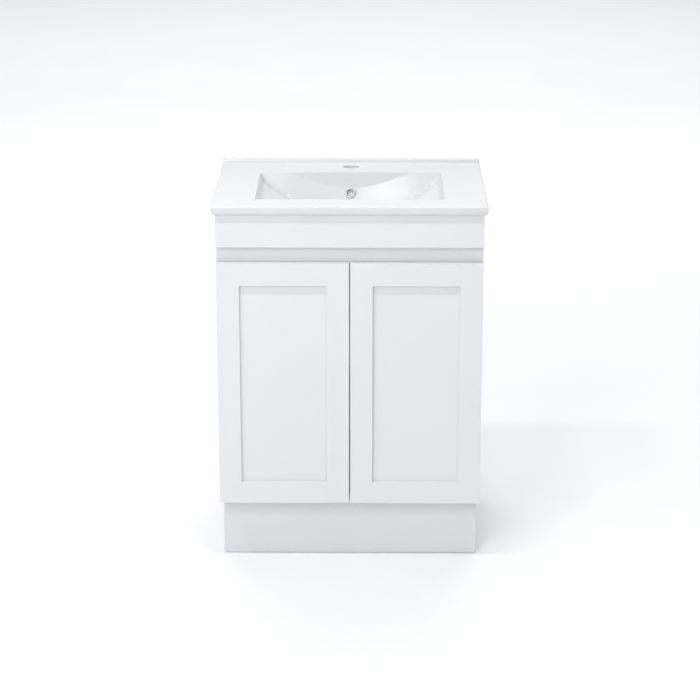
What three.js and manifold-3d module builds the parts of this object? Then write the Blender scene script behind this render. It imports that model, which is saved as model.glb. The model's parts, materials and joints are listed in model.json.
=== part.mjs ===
// Bathroom vanity cabinet, 600 mm wide: a one-piece ceramic top with a sunk rectangular basin, on a
// painted board carcass with two shaker doors, a finger channel above them and a recessed plinth.
// Millimetres. X runs to the right, Y runs back to the wall, Z runs up. The origin is on the floor,
// under the middle of the top.

import * as THREE from 'three';
import { mergeVertices } from 'three/addons/utils/BufferGeometryUtils.js';
import Module from 'manifold-3d';

const wasm = await Module();
wasm.setup();

// ---- Driving dimensions ----

const TOP_WIDTH = 600;
const TOP_DEPTH = 460;
const TOP_HEIGHT = 825;
const TOP_THICKNESS = 20;
const TOP_UPPER_EDGE_RADIUS = 2.5;
const TOP_LOWER_EDGE_RADIUS = 9;
const UPSTAND_HEIGHT = 6;
const UPSTAND_THICKNESS = 14;
const UPSTAND_EDGE_RADIUS = 2;

const BOWL_WIDTH = 415;
const BOWL_FRONT_MARGIN = 73.6;
const BOWL_LENGTH = 264.4;
const BOWL_LIP_DEPTH = 20;
const BOWL_LIP_SLOPE = 0.4;
const BOWL_DEPTH = 105;
const BOWL_FLOOR_EXPONENT = 1.565;
const BOWL_FLOOR_STEPS = 28;
const BOWL_END_SLOPE = 0.4245;
const BOWL_WALL = 9;
const BACK_SWELL_HALF_WIDTH = 124;
const BACK_SWELL_DEPTH = 35;

const TAP_HOLE_RADIUS = 18;
const TAP_HOLE_FLARE = 4.5;
const TAP_HOLE_FROM_FRONT = 402;
const WASTE_HOLE_RADIUS = 22.5;
const WASTE_BOSS_RADIUS = 34;
const OVERFLOW_HOLE_RADIUS = 10;
const OVERFLOW_DEPTH = 48;
const RING_FLANGE_RADIUS = 12.4;
const RING_BORE_RADIUS = 8.6;
const RING_SLEEVE_LENGTH = 7;
const RING_RIM_HEIGHT = 1.6;
const RING_BORE_HEIGHT = 2;
const RING_CROWN_HEIGHT = 2.8;
const RING_OUTER_BEVEL = 1.4;
const RING_INNER_BEVEL = 1.2;
const DUCT_HALF_WIDTH = 11;
const DUCT_THICKNESS = 12;
const DUCT_WALL = 6;

const SIDE_OVERHANG = 8;
const FRONT_OVERHANG = 8;
const BOARD = 16;
const DOOR_THICKNESS = 18;
const DOOR_STANDOFF = 2;
const DOOR_SPLIT = 2;
const DOOR_TOP = 696;
const FINGER_GAP = 36;
const FRAME_WIDTH = 50;
const PANEL_THICKNESS = 6;
const PANEL_RECESS = 8.3;
const PANEL_TONGUE = 8;
const FIT_GAP = 0.3;

const CHANNEL_LEDGE_DEPTH = 62;
const REAR_TOP_RAIL_HEIGHT = 100;
const BACK_PANEL_HEIGHT = 419;
const SHELF_TOP = 436;
const SHELF_FRONT_SETBACK = 70;
const SHELF_SIDE_CLEARANCE = 1;
const SHELF_PIN_RADIUS = 2.5;
const SHELF_PIN_LENGTH = 8;
const SHELF_HOLE_SPACING = 64;
const SHELF_PIN_INSET = 50;

const PLINTH_HEIGHT = 140;
const PLINTH_SIDE_INSET = 5.5;
const PLINTH_SETBACK = 50;
const PLINTH_REAR_SETBACK = 16;

const HINGE_FROM_DOOR_END = 90;
const CUP_CENTRE_INSET = 21.5;
const CUP_RADIUS = 17.4;
const CUP_DEPTH = 12;
const CUP_WALL = 1.2;
const CUP_LIP = 2;
const CUP_WING_HALF_HEIGHT = 27;
const CUP_WING_OUTER_INSET = 17.5;
const CUP_WING_INNER_INSET = 35.5;
const CUP_PIN_HALF_LENGTH = 14.4;
const PIN_RADIUS = 1.5;
const EYE_RADIUS = 3.2;
const LINK_HALF_HEIGHT = 6;
const LINK_HALF_THICKNESS = 1.3;
const ARM_CHEEK = 1.5;
const ARM_LENGTH = 60;
const PLATE_THICKNESS = 6;
const PLATE_HALF_HEIGHT = 9;
const PLATE_FRONT_SETBACK = 18;
const PLATE_WING_THICKNESS = 2;
const PLATE_WING_HALF_HEIGHT = 26;
const PLATE_WING_FRONT_SETBACK = 30;
const PLATE_WING_REAR_SETBACK = 46;
const BUMPER_RADIUS = 4;

// A hinge is laid out in the plan of its own door corner: "inset" runs from the door's outer edge
// towards the middle of the cabinet, and "reach" runs forward from the carcass front.
const ARM_PIVOT = { inset: 31, reach: 6 };
const CUP_PIVOT = { inset: 13, reach: 5 };
const LINK_BOW = { inset: 21.5, reach: 12.5 };

// ---- Derived dimensions ----

const TOP_FRONT = -TOP_DEPTH / 2;
const REAR = TOP_DEPTH / 2;
const TOP_UNDERSIDE = TOP_HEIGHT - TOP_THICKNESS;
const BOWL_FRONT = TOP_FRONT + BOWL_FRONT_MARGIN;
const BOWL_BACK = BOWL_FRONT + BOWL_LENGTH;
const WASTE_Y = (BOWL_FRONT + BOWL_BACK) / 2;
const TAP_HOLE_Y = TOP_FRONT + TAP_HOLE_FROM_FRONT;
const OVERFLOW_Y = BOWL_BACK - BOWL_END_SLOPE * (OVERFLOW_DEPTH - BACK_SWELL_DEPTH);
const OVERFLOW_Z = TOP_HEIGHT - OVERFLOW_DEPTH;
const OVERFLOW_TILT = Math.atan(BOWL_END_SLOPE);
const HALF_CABINET = TOP_WIDTH / 2 - SIDE_OVERHANG;
const HALF_INSIDE = HALF_CABINET - BOARD;
const DOOR_FRONT = TOP_FRONT + FRONT_OVERHANG;
const DOOR_REAR = DOOR_FRONT + DOOR_THICKNESS;
const CARCASS_FRONT = DOOR_REAR + DOOR_STANDOFF;
const FASCIA_BOTTOM = DOOR_TOP + FINGER_GAP;
const DOOR_WIDTH = HALF_CABINET - DOOR_SPLIT / 2;
const KICKBOARD_FRONT = DOOR_FRONT + PLINTH_SETBACK;
const HALF_PLINTH = HALF_CABINET - PLINTH_SIDE_INSET;
const PLINTH_REAR = REAR - PLINTH_REAR_SETBACK;
const SHELF_BOTTOM = SHELF_TOP - BOARD;
const SHELF_FRONT = CARCASS_FRONT + SHELF_FRONT_SETBACK;
const SHELF_REAR = REAR - BOARD;
const SHELF_PIN_ROWS = { front: SHELF_FRONT + SHELF_PIN_INSET, rear: SHELF_REAR - SHELF_PIN_INSET };
const SHELF_PIN_Z = SHELF_BOTTOM - SHELF_PIN_RADIUS;
const HINGE_HEIGHTS = { upper: DOOR_TOP - HINGE_FROM_DOOR_END, lower: PLINTH_HEIGHT + HINGE_FROM_DOOR_END };
const SIDES = { left: -1, right: 1 };

// ---- Materials ----

function material(color, roughness, metalness = 0) {
  return () => new THREE.MeshStandardMaterial({ color, roughness, metalness, flatShading: true });
}

const glazedCeramic = material(0xf6f6f7, 0.12);
const satinPaint = material(0xebebf0, 0.38);
const boardFacing = material(0xe6e6e8, 0.5);
const chrome = material(0xc9ccd0, 0.12, 1);
const nickelSteel = material(0xaeb0b3, 0.32, 1);
const clearRubber = material(0xd4d4d2, 0.6);

// ---- Solids ----

// The closed geometry as a solid for cutting and joining.
function solid(geometry) {
  const bare = geometry.index ? geometry.clone() : geometry;
  bare.deleteAttribute('normal');
  bare.deleteAttribute('uv');
  const merged = mergeVertices(bare, 1e-4);
  return new wasm.Manifold(new wasm.Mesh({
    numProp: 3,
    vertProperties: new Float32Array(merged.attributes.position.array),
    triVerts: new Uint32Array(merged.index.array),
  }));
}

function geometryOf(body) {
  const mesh = body.getMesh();
  const geometry = new THREE.BufferGeometry();
  geometry.setAttribute('position', new THREE.BufferAttribute(mesh.vertProperties, 3));
  geometry.setIndex(new THREE.BufferAttribute(mesh.triVerts, 1));
  geometry.computeVertexNormals();
  return geometry;
}

// A board or block between two opposite corners.
function block([x0, y0, z0], [x1, y1, z1]) {
  const geometry = new THREE.BoxGeometry(Math.abs(x1 - x0), Math.abs(y1 - y0), Math.abs(z1 - z0));
  geometry.translate((x0 + x1) / 2, (y0 + y1) / 2, (z0 + z1) / 2);
  return solid(geometry);
}

// An outline whose corners are rounded: each corner is [a, b, radius], all of them right angles,
// in anticlockwise order.
function roundedOutline(corners) {
  const shape = new THREE.Shape();
  corners.forEach(([a, b, radius = 0], index) => {
    const corner = new THREE.Vector2(a, b);
    const neighbour = (step) => {
      const [na, nb] = corners[(index + step + corners.length) % corners.length];
      return new THREE.Vector2(na, nb).sub(corner).setLength(radius);
    };
    const before = neighbour(-1);
    const after = neighbour(1);
    const start = corner.clone().add(before);
    const draw = index === 0 ? 'moveTo' : 'lineTo';
    shape[draw](start.x, start.y);
    if (radius > 0) {
      const centre = start.clone().add(after);
      const from = after.clone().negate().angle();
      const to = before.clone().negate().angle();
      shape.absarc(centre.x, centre.y, radius, from, to);
    }
  });
  return shape;
}

function outlineOf(points) {
  return new THREE.Shape(points.map(([a, b]) => new THREE.Vector2(a, b)));
}

function extrude(shape, depth, curveSegments = 6) {
  return new THREE.ExtrudeGeometry(shape, { depth, bevelEnabled: false, curveSegments });
}

// An outline in Y and Z, drawn out along X.
function alongX(shape, x0, x1) {
  const axes = new THREE.Matrix4().makeBasis(
    new THREE.Vector3(0, 1, 0), new THREE.Vector3(0, 0, 1), new THREE.Vector3(1, 0, 0));
  return solid(extrude(shape, x1 - x0).applyMatrix4(axes).translate(x0, 0, 0));
}

// An outline in X and Z, drawn out along Y.
function alongY(shape, y0, y1) {
  return solid(extrude(shape, y1 - y0).rotateX(Math.PI / 2).translate(0, y1, 0));
}

// An outline in X and Y, drawn out along Z.
function alongZ(shape, z0, z1) {
  return solid(extrude(shape, z1 - z0).translate(0, 0, z0));
}

// A round bar along the given axis ('x', 'y' or 'z'), from one coordinate on it to another.
function bar(axis, radius, [x, y, z], from, to, segments = 24) {
  const geometry = new THREE.CylinderGeometry(radius, radius, Math.abs(to - from), segments);
  const middle = (from + to) / 2;
  if (axis === 'x') geometry.rotateZ(Math.PI / 2).translate(middle, y, z);
  if (axis === 'y') geometry.translate(x, middle, z);
  if (axis === 'z') geometry.rotateX(Math.PI / 2).translate(x, y, middle);
  return solid(geometry);
}

const vanity = new THREE.Group();

function addPart(name, body, makeMaterial) {
  const mesh = new THREE.Mesh(geometryOf(body), makeMaterial());
  mesh.name = name;
  vanity.add(mesh);
}

// ---- The ceramic top and its basin ----

// The basin's section across X: slanted lips at the left and right, then one floor curve.
function bowlFloorOutline(offset, top) {
  const lipHalfWidth = BOWL_WIDTH / 2 - BOWL_LIP_SLOPE * BOWL_LIP_DEPTH + offset;
  const topHalfWidth = lipHalfWidth + BOWL_LIP_SLOPE * (BOWL_LIP_DEPTH + top - TOP_HEIGHT);
  const points = [[topHalfWidth, top], [-topHalfWidth, top]];
  for (let step = 0; step <= BOWL_FLOOR_STEPS; step += 1) {
    const share = (2 * step) / BOWL_FLOOR_STEPS - 1;
    const drop = (BOWL_DEPTH - BOWL_LIP_DEPTH) * (1 - Math.abs(share) ** BOWL_FLOOR_EXPONENT);
    points.push([share * lipHalfWidth, TOP_HEIGHT - BOWL_LIP_DEPTH - drop - offset]);
  }
  return outlineOf(points);
}

// The basin's section along Y: steep flat walls at the front and the back.
function bowlEndsOutline(offset, top) {
  const bottom = TOP_HEIGHT - BOWL_DEPTH - 2 * BOWL_WALL;
  const lean = (z) => BOWL_END_SLOPE * (TOP_HEIGHT - z);
  return outlineOf([
    [BOWL_FRONT - offset + lean(top), top],
    [BOWL_FRONT - offset + lean(bottom), bottom],
    [BOWL_BACK + offset - lean(bottom), bottom],
    [BOWL_BACK + offset - lean(top), top],
  ]);
}

// The swelling in the middle of the back wall, which leaves the upper part of that wall upright.
function bowlBackSwell(offset, top) {
  const bottom = TOP_HEIGHT - BOWL_DEPTH - 2 * BOWL_WALL;
  const start = WASTE_Y + BACK_SWELL_HALF_WIDTH / 2;
  const shape = new THREE.Shape();
  shape.moveTo(-BACK_SWELL_HALF_WIDTH, start);
  shape.lineTo(BACK_SWELL_HALF_WIDTH, start);
  shape.lineTo(BACK_SWELL_HALF_WIDTH, BOWL_BACK + offset);
  const crest = BOWL_BACK + offset + 2 * BOWL_END_SLOPE * BACK_SWELL_DEPTH;
  shape.quadraticCurveTo(0, crest, -BACK_SWELL_HALF_WIDTH, BOWL_BACK + offset);
  const geometry = extrude(shape, top - bottom, 20).translate(0, 0, bottom);
  const lean = new THREE.Matrix4().set(
    1, 0, 0, 0,
    0, 1, BOWL_END_SLOPE, -BOWL_END_SLOPE * TOP_HEIGHT,
    0, 0, 1, 0,
    0, 0, 0, 1);
  const limit = block([-TOP_WIDTH, TOP_FRONT, 0], [TOP_WIDTH, BOWL_BACK + offset, TOP_HEIGHT + BOARD]);
  return solid(geometry.applyMatrix4(lean)).intersect(limit);
}

// The hollow of the basin, or with an offset its outer shell, up to the height "top".
function bowlSolid(offset, top) {
  const across = alongY(bowlFloorOutline(offset, top), TOP_FRONT, REAR);
  const along = alongX(bowlEndsOutline(offset, top), -TOP_WIDTH / 2, TOP_WIDTH / 2);
  return across.intersect(along.add(bowlBackSwell(offset, top)));
}

function slab() {
  const across = roundedOutline([
    [-TOP_WIDTH / 2, TOP_UNDERSIDE, TOP_LOWER_EDGE_RADIUS],
    [TOP_WIDTH / 2, TOP_UNDERSIDE, TOP_LOWER_EDGE_RADIUS],
    [TOP_WIDTH / 2, TOP_HEIGHT, TOP_UPPER_EDGE_RADIUS],
    [-TOP_WIDTH / 2, TOP_HEIGHT, TOP_UPPER_EDGE_RADIUS],
  ]);
  const along = roundedOutline([
    [TOP_FRONT, TOP_UNDERSIDE, TOP_LOWER_EDGE_RADIUS],
    [REAR, TOP_UNDERSIDE],
    [REAR, TOP_HEIGHT],
    [TOP_FRONT, TOP_HEIGHT, TOP_UPPER_EDGE_RADIUS],
  ]);
  const upstand = roundedOutline([
    [REAR - UPSTAND_THICKNESS, TOP_HEIGHT - TOP_THICKNESS / 2],
    [REAR, TOP_HEIGHT - TOP_THICKNESS / 2],
    [REAR, TOP_HEIGHT + UPSTAND_HEIGHT],
    [REAR - UPSTAND_THICKNESS, TOP_HEIGHT + UPSTAND_HEIGHT, UPSTAND_EDGE_RADIUS],
  ]);
  return alongY(across, TOP_FRONT, REAR)
    .intersect(alongX(along, -TOP_WIDTH / 2, TOP_WIDTH / 2))
    .add(alongX(upstand, -TOP_WIDTH / 2, TOP_WIDTH / 2));
}

// The overflow duct runs down behind the basin and forward under it to the waste hole. With a wall
// it is the rib that carries the duct, without one it is the passage.
function overflowDuct(wall) {
  const rear = BOWL_BACK + DUCT_WALL + DUCT_THICKNESS + wall;
  const half = DUCT_HALF_WIDTH + wall;
  const floor = TOP_HEIGHT - BOWL_DEPTH;
  const bottom = floor - BOWL_WALL - DUCT_THICKNESS + DUCT_WALL - wall;
  const height = OVERFLOW_Z + OVERFLOW_HOLE_RADIUS;
  const inner = BOWL_BACK + DUCT_WALL - wall;
  const upright = block([-half, inner, bottom], [half, rear, height + 3 * wall]);
  const run = block([-half, WASTE_Y, bottom], [half, rear, floor - DUCT_WALL + wall / 2]);
  return upright.add(run);
}

function overflowBore(radius, length) {
  const geometry = new THREE.CylinderGeometry(radius, radius, length, 28);
  geometry.rotateX(-OVERFLOW_TILT).translate(0, OVERFLOW_Y, OVERFLOW_Z);
  return solid(geometry);
}

function tapHole() {
  const flare = new THREE.Shape();
  const rim = TAP_HOLE_RADIUS + TAP_HOLE_FLARE;
  flare.moveTo(0, TOP_UNDERSIDE - 1);
  flare.lineTo(TAP_HOLE_RADIUS, TOP_UNDERSIDE - 1);
  flare.absarc(rim, TOP_HEIGHT - TAP_HOLE_FLARE, TAP_HOLE_FLARE, Math.PI, Math.PI / 2, true);
  flare.lineTo(rim, TOP_HEIGHT + 1);
  flare.lineTo(0, TOP_HEIGHT + 1);
  const profile = flare.getPoints(5);
  return solid(new THREE.LatheGeometry(profile, 36).rotateX(Math.PI / 2).translate(0, TAP_HOLE_Y, 0));
}

function vanityTop() {
  const bottom = TOP_HEIGHT - BOWL_DEPTH - BOWL_WALL - DUCT_THICKNESS;
  const wasteAt = [0, WASTE_Y, 0];
  const boss = bar('z', WASTE_BOSS_RADIUS, wasteAt, bottom, TOP_HEIGHT - BOWL_DEPTH, 32);
  const backFill = block(
    [-DUCT_HALF_WIDTH - DUCT_WALL, WASTE_Y, TOP_HEIGHT - BOWL_DEPTH - DUCT_WALL],
    [DUCT_HALF_WIDTH + DUCT_WALL, BOWL_BACK + DUCT_WALL, TOP_HEIGHT - TOP_THICKNESS / 2]);
  return slab()
    .add(bowlSolid(BOWL_WALL, TOP_HEIGHT - TOP_THICKNESS / 2))
    .add(overflowDuct(DUCT_WALL))
    .add(backFill)
    .add(boss)
    .subtract(bowlSolid(0, TOP_HEIGHT + 1))
    .subtract(overflowDuct(0))
    .subtract(overflowBore(OVERFLOW_HOLE_RADIUS, 2 * (DUCT_THICKNESS + DUCT_WALL)))
    .subtract(bar('z', WASTE_HOLE_RADIUS, wasteAt, bottom - 1, TOP_HEIGHT, 36))
    .subtract(tapHole());
}

// The trim ring: a domed flange on the basin's back wall and a short sleeve in the overflow hole.
// The lathe axis points out of the wall, forwards and up.
function overflowRing() {
  const sleeve = OVERFLOW_HOLE_RADIUS - FIT_GAP;
  const profile = [
    [RING_BORE_RADIUS, -RING_SLEEVE_LENGTH],
    [sleeve, -RING_SLEEVE_LENGTH],
    [sleeve, FIT_GAP],
    [RING_FLANGE_RADIUS, FIT_GAP],
    [RING_FLANGE_RADIUS, RING_RIM_HEIGHT],
    [RING_FLANGE_RADIUS - RING_OUTER_BEVEL, RING_CROWN_HEIGHT],
    [RING_BORE_RADIUS + RING_INNER_BEVEL, RING_CROWN_HEIGHT],
    [RING_BORE_RADIUS, RING_BORE_HEIGHT],
    [RING_BORE_RADIUS, -RING_SLEEVE_LENGTH],
  ].map(([radius, height]) => new THREE.Vector2(radius, height));
  const outward = new THREE.Vector3(0, -Math.cos(OVERFLOW_TILT), Math.sin(OVERFLOW_TILT));
  const turn = new THREE.Quaternion().setFromUnitVectors(new THREE.Vector3(0, 1, 0), outward);
  const geometry = new THREE.LatheGeometry(profile, 28).applyQuaternion(turn);
  return solid(geometry.translate(0, OVERFLOW_Y, OVERFLOW_Z));
}

addPart('vanity_top', vanityTop(), glazedCeramic);
addPart('overflow_ring', overflowRing(), chrome);

// ---- The carcass ----

function sidePanel(side) {
  const inner = side * HALF_INSIDE;
  const panel = block([inner, CARCASS_FRONT, PLINTH_HEIGHT], [side * HALF_CABINET, REAR, TOP_UNDERSIDE]);
  const holes = [];
  for (const y of Object.values(SHELF_PIN_ROWS)) {
    for (const step of [-1, 0, 1]) {
      const z = SHELF_PIN_Z + step * SHELF_HOLE_SPACING;
      const radius = SHELF_PIN_RADIUS + FIT_GAP;
      holes.push(bar('x', radius, [0, y, z], inner - side, inner + side * (SHELF_PIN_LENGTH + 1), 12));
    }
  }
  return holes.reduce((body, hole) => body.subtract(hole), panel);
}

for (const [name, side] of Object.entries(SIDES)) {
  addPart(`side_panel_${name}`, sidePanel(side), satinPaint);
  for (const [row, y] of Object.entries(SHELF_PIN_ROWS)) {
    const inner = side * HALF_INSIDE;
    const pin = bar('x', SHELF_PIN_RADIUS, [0, y, SHELF_PIN_Z],
      inner - side * SHELF_PIN_LENGTH, inner + side * SHELF_PIN_LENGTH, 12);
    addPart(`shelf_pin_${name}_${row}`, pin, nickelSteel);
  }
}

// A board between the two side panels.
function crossBoard(name, [y0, z0], [y1, z1], makeMaterial) {
  addPart(name, block([-HALF_INSIDE, y0, z0], [HALF_INSIDE, y1, z1]), makeMaterial);
}

crossBoard('bottom_panel', [CARCASS_FRONT, PLINTH_HEIGHT], [REAR, PLINTH_HEIGHT + BOARD], boardFacing);
crossBoard('channel_back', [CARCASS_FRONT, DOOR_TOP],
  [CARCASS_FRONT + BOARD, TOP_UNDERSIDE], satinPaint);
crossBoard('channel_ledge', [CARCASS_FRONT, DOOR_TOP - BOARD],
  [CARCASS_FRONT + CHANNEL_LEDGE_DEPTH, DOOR_TOP], satinPaint);
crossBoard('rear_top_rail', [REAR - BOARD, TOP_UNDERSIDE - REAR_TOP_RAIL_HEIGHT],
  [REAR, TOP_UNDERSIDE], boardFacing);
crossBoard('back_panel', [REAR - BOARD, PLINTH_HEIGHT + BOARD],
  [REAR, PLINTH_HEIGHT + BOARD + BACK_PANEL_HEIGHT], boardFacing);

addPart('fascia', block([-HALF_CABINET, CARCASS_FRONT - DOOR_THICKNESS, FASCIA_BOTTOM],
  [HALF_CABINET, CARCASS_FRONT, TOP_UNDERSIDE]), satinPaint);

const HALF_SHELF = HALF_INSIDE - SHELF_SIDE_CLEARANCE;
addPart('shelf', block([-HALF_SHELF, SHELF_FRONT, SHELF_BOTTOM],
  [HALF_SHELF, SHELF_REAR - SHELF_SIDE_CLEARANCE, SHELF_TOP]), boardFacing);

// ---- The plinth ----

const PLINTH_INNER = HALF_PLINTH - BOARD;
addPart('kickboard', block([-HALF_PLINTH, KICKBOARD_FRONT, 0],
  [HALF_PLINTH, KICKBOARD_FRONT + BOARD, PLINTH_HEIGHT]), satinPaint);
for (const [name, side] of Object.entries(SIDES)) {
  addPart(`plinth_side_${name}`, block([side * PLINTH_INNER, KICKBOARD_FRONT + BOARD, 0],
    [side * HALF_PLINTH, PLINTH_REAR, PLINTH_HEIGHT]), satinPaint);
}
addPart('plinth_rear_rail', block([-PLINTH_INNER, PLINTH_REAR - BOARD, 0],
  [PLINTH_INNER, PLINTH_REAR, PLINTH_HEIGHT]), boardFacing);

// ---- The doors ----

// The X and Y of a point in a door corner's plan.
function plan(side, inset, reach) {
  return [side * (HALF_CABINET - inset), CARCASS_FRONT - reach];
}

// A block in a door's own measures: inset from its outer edge, reach in front of the carcass, height.
function doorBlock(side, [inset0, reach0, z0], [inset1, reach1, z1]) {
  return block([...plan(side, inset0, reach0), z0], [...plan(side, inset1, reach1), z1]);
}

const REACH_REAR = DOOR_STANDOFF;
const REACH_FRONT = DOOR_STANDOFF + DOOR_THICKNESS;
const PANEL_FRONT = REACH_FRONT - PANEL_RECESS;
const PANEL_REAR = PANEL_FRONT - PANEL_THICKNESS;
const GROOVE_DEPTH = PANEL_TONGUE + FIT_GAP;

// The groove that holds the panel and the rails' tongues, as a block between two insets and heights.
function groove(side, inset0, z0, inset1, z1) {
  return doorBlock(side, [inset0, PANEL_REAR - FIT_GAP, z0], [inset1, PANEL_FRONT + FIT_GAP, z1]);
}

function hingeStile(side) {
  const edge = FRAME_WIDTH;
  const body = doorBlock(side, [0, REACH_REAR, PLINTH_HEIGHT], [edge, REACH_FRONT, DOOR_TOP])
    .subtract(groove(side, edge - GROOVE_DEPTH, PLINTH_HEIGHT - 1, edge + 1, DOOR_TOP + 1));
  return Object.values(HINGE_HEIGHTS).reduce((stile, z) => {
    const [x] = plan(side, CUP_CENTRE_INSET, 0);
    const [, rear] = plan(side, 0, REACH_REAR - 1);
    const [, floor] = plan(side, 0, REACH_REAR + CUP_DEPTH + FIT_GAP);
    return stile.subtract(bar('y', CUP_RADIUS + FIT_GAP, [x, 0, z], rear, floor, 32));
  }, body);
}

function meetingStile(side) {
  const edge = DOOR_WIDTH - FRAME_WIDTH;
  return doorBlock(side, [edge, REACH_REAR, PLINTH_HEIGHT], [DOOR_WIDTH, REACH_FRONT, DOOR_TOP])
    .subtract(groove(side, edge - 1, PLINTH_HEIGHT - 1, edge + GROOVE_DEPTH, DOOR_TOP + 1));
}

// A rail between the stiles, with a tongue at each end and the panel's groove in one edge.
function doorRail(side, z0, z1, grooveSide) {
  const left = FRAME_WIDTH;
  const right = DOOR_WIDTH - FRAME_WIDTH;
  const tongues = doorBlock(side, [left - PANEL_TONGUE, PANEL_REAR, z0],
    [right + PANEL_TONGUE, PANEL_FRONT, z1]);
  const edge = grooveSide < 0 ? z0 : z1;
  const deep = edge - grooveSide * GROOVE_DEPTH;
  return doorBlock(side, [left, REACH_REAR, z0], [right, REACH_FRONT, z1])
    .add(tongues)
    .subtract(groove(side, 0, deep, DOOR_WIDTH, edge + grooveSide));
}

function doorPanel(side) {
  const reach = FRAME_WIDTH - PANEL_TONGUE;
  return doorBlock(side, [reach, PANEL_REAR, PLINTH_HEIGHT + reach],
    [DOOR_WIDTH - reach, PANEL_FRONT, DOOR_TOP - reach]);
}

function doorBumper(side, z) {
  const [x] = plan(side, DOOR_WIDTH - FRAME_WIDTH / 2, 0);
  const [, rear] = plan(side, 0, FIT_GAP);
  const [, front] = plan(side, 0, REACH_REAR);
  return bar('y', BUMPER_RADIUS, [x, 0, z], rear, front, 16);
}

for (const [name, side] of Object.entries(SIDES)) {
  addPart(`door_${name}_hinge_stile`, hingeStile(side), satinPaint);
  addPart(`door_${name}_meeting_stile`, meetingStile(side), satinPaint);
  addPart(`door_${name}_top_rail`, doorRail(side, DOOR_TOP - FRAME_WIDTH, DOOR_TOP, -1), satinPaint);
  const bottomRail = doorRail(side, PLINTH_HEIGHT, PLINTH_HEIGHT + FRAME_WIDTH, 1);
  addPart(`door_${name}_bottom_rail`, bottomRail, satinPaint);
  addPart(`door_${name}_panel`, doorPanel(side), satinPaint);
  addPart(`door_bumper_${name}_upper`, doorBumper(side, DOOR_TOP - BOARD / 2), clearRubber);
  addPart(`door_bumper_${name}_lower`, doorBumper(side, PLINTH_HEIGHT + BOARD / 2), clearRubber);
}

// ---- The concealed hinges ----

function planBar(side, pivot, radius, z0, z1, segments = 16) {
  const [x, y] = plan(side, pivot.inset, pivot.reach);
  return bar('z', radius, [x, y, 0], z0, z1, segments);
}

function planOutline(side, points) {
  return outlineOf(points.map(([inset, reach]) => plan(side, inset, reach)));
}

// The cup in the door: a shallow round tray with screw wings and the link's pin across it.
function hingeCup(side, z) {
  const [x] = plan(side, CUP_CENTRE_INSET, 0);
  const [, wingRear] = plan(side, 0, REACH_REAR - CUP_WALL);
  const [, mouth] = plan(side, 0, REACH_REAR);
  const [, floor] = plan(side, 0, REACH_REAR + CUP_DEPTH);
  const [, hollowFloor] = plan(side, 0, REACH_REAR + CUP_DEPTH - CUP_WALL);
  const wings = doorBlock(side, [CUP_WING_OUTER_INSET, REACH_REAR - CUP_WALL, z - CUP_WING_HALF_HEIGHT],
    [CUP_WING_INNER_INSET, REACH_REAR, z + CUP_WING_HALF_HEIGHT]);
  return bar('y', CUP_RADIUS, [x, 0, z], wingRear, floor, 32)
    .add(bar('y', CUP_RADIUS + CUP_LIP, [x, 0, z], wingRear, mouth, 32))
    .add(wings)
    .subtract(bar('y', CUP_RADIUS - CUP_WALL, [x, 0, z], wingRear + 1, hollowFloor, 32))
    .add(planBar(side, CUP_PIVOT, PIN_RADIUS, z - CUP_PIN_HALF_LENGTH, z + CUP_PIN_HALF_LENGTH));
}

// The link: a bowed strap with an eye at each end.
function hingeLink(side, z) {
  const point = ({ inset, reach }) => new THREE.Vector2(inset, reach);
  const curve = new THREE.QuadraticBezierCurve(point(ARM_PIVOT), point(LINK_BOW), point(CUP_PIVOT));
  const steps = 8;
  const edge = (offset) => [...Array(steps + 1).keys()].map((step) => {
    const at = curve.getPoint(step / steps);
    const along = curve.getTangent(step / steps);
    return [at.x - along.y * offset, at.y + along.x * offset];
  });
  const strap = planOutline(side, [...edge(LINK_HALF_THICKNESS), ...edge(-LINK_HALF_THICKNESS).reverse()]);
  const low = z - LINK_HALF_HEIGHT;
  const high = z + LINK_HALF_HEIGHT;
  const pivots = [ARM_PIVOT, CUP_PIVOT];
  const eyes = pivots.reduce((body, pivot) => body.add(planBar(side, pivot, EYE_RADIUS, low, high)),
    alongZ(strap, low, high));
  const bore = PIN_RADIUS + FIT_GAP;
  return pivots.reduce((body, pivot) => body.subtract(planBar(side, pivot, bore, low - 1, high + 1)), eyes);
}

const ARM_NEAR = BOARD + PLATE_THICKNESS;
const ARM_FAR = ARM_PIVOT.inset + EYE_RADIUS;
const ARM_WEB_END = -6;

// The arm on the carcass: a channel with two cheeks, whose front ends hold the link's other pin.
function hingeArm(side, z) {
  const inner = LINK_HALF_HEIGHT + FIT_GAP;
  const outer = inner + ARM_CHEEK;
  const profile = planOutline(side, [
    [ARM_NEAR, -ARM_LENGTH], [ARM_FAR, -ARM_LENGTH], [ARM_FAR, ARM_PIVOT.reach],
    [ARM_PIVOT.inset - EYE_RADIUS, ARM_PIVOT.reach], [ARM_NEAR, ARM_WEB_END],
  ]);
  const web = doorBlock(side, [ARM_FAR - ARM_CHEEK, -ARM_LENGTH, z - outer],
    [ARM_FAR, ARM_WEB_END, z + outer]);
  return alongZ(profile, z - outer, z - inner)
    .add(alongZ(profile, z + inner, z + outer))
    .add(planBar(side, ARM_PIVOT, EYE_RADIUS, z - outer, z - inner))
    .add(planBar(side, ARM_PIVOT, EYE_RADIUS, z + inner, z + outer))
    .add(planBar(side, ARM_PIVOT, PIN_RADIUS, z - outer, z + outer))
    .add(web);
}

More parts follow.
